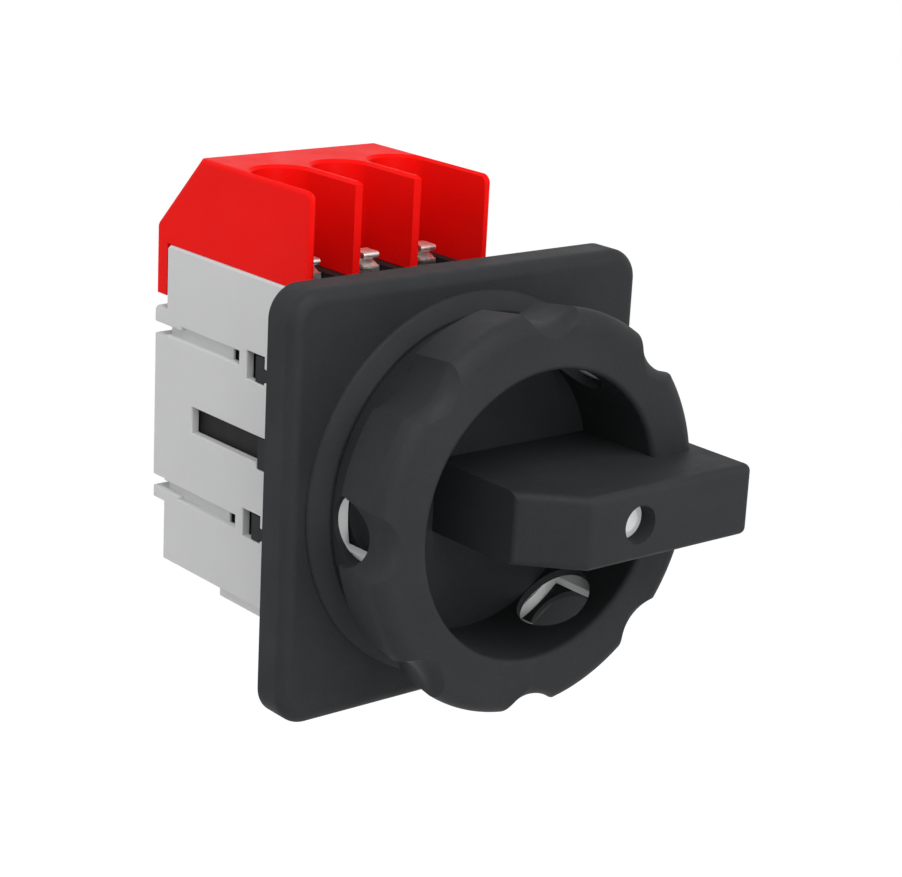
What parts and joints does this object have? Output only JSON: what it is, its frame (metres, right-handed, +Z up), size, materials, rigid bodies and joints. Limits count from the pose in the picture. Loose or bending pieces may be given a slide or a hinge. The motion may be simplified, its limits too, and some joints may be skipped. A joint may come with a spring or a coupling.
{
  "type": "switch disconnector",
  "caption": "Door-mounted switch disconnector: square black plate, scalloped padlockable knob with a grip bar, pale grey three-pole switch body and red wire cover.",
  "frame": {"origin": "on the handle axis, in the back face of the square mask plate", "axes": "+X right seen from the front, +Y back into the enclosure along the handle axis, +Z up"},
  "size_m": [0.067, 0.0889, 0.0768],
  "materials": {
    "black_plastic": "satin",
    "block_plastic": "satin",
    "grey_plastic": "satin",
    "pale_plastic": "satin",
    "red_plastic": "satin",
    "seal_rubber": "matte",
    "spring_steel": "bright",
    "zinc_steel": "satin",
    "contact_brass": "satin",
    "tinned_contact": "satin"
  },
  "bodies": {
    "switch_body": {"mask_plate": "black_plastic", "panel_gasket": "seal_rubber", "locking_collar": "pale_plastic", "drive_housing": "black_plastic", "detent_spring": "spring_steel", "mechanism_block": "block_plastic", "contact_block": "block_plastic", "casing": "grey_plastic", "line_contact_1": "tinned_contact", "load_contact_1": "tinned_contact", "line_clamp_1": "zinc_steel", "load_clamp_1": "zinc_steel", "line_screw_1": "zinc_steel", "load_screw_1": "zinc_steel", "line_contact_2": "tinned_contact", "load_contact_2": "tinned_contact", "line_clamp_2": "zinc_steel", "load_clamp_2": "zinc_steel", "line_screw_2": "zinc_steel", "load_screw_2": "zinc_steel", "line_contact_3": "tinned_contact", "load_contact_3": "tinned_contact", "line_clamp_3": "zinc_steel", "load_clamp_3": "zinc_steel", "line_screw_3": "zinc_steel", "load_screw_3": "zinc_steel"},
    "handle": {"knob": "black_plastic", "pointer_pin": "pale_plastic", "hub_circlip": "spring_steel", "drive_shaft": "zinc_steel", "cam_rotor": "block_plastic"},
    "carrier": {"contact_carrier": "block_plastic", "bridge_contact_1": "contact_brass", "bridge_contact_2": "contact_brass", "bridge_contact_3": "contact_brass", "contact_spring_1": "spring_steel", "contact_spring_2": "spring_steel", "contact_spring_3": "spring_steel"},
    "cover": {"line_cover": "red_plastic"}
  },
  "joints": [
    {"name": "handle_turn", "type": "hinge", "parent": "switch_body", "child": "handle", "pos_m": [0, 0, 0], "axis": [0, 1, 0], "range_deg": [0, 90], "deforming": ["detent_spring"]},
    {"name": "carrier_slide", "type": "slide", "parent": "switch_body", "child": "carrier", "axis": [0, 1, 0], "range_m": [0, 0.003]},
    {"name": "cover_lift", "type": "slide", "parent": "switch_body", "child": "cover", "axis": [0, 0, 1], "range_m": [0, 0.02]}
  ],
  "couplings": [
    {"joint": "carrier_slide", "follows": "handle_turn", "m_per_rad": 0.0019098}
  ]
}
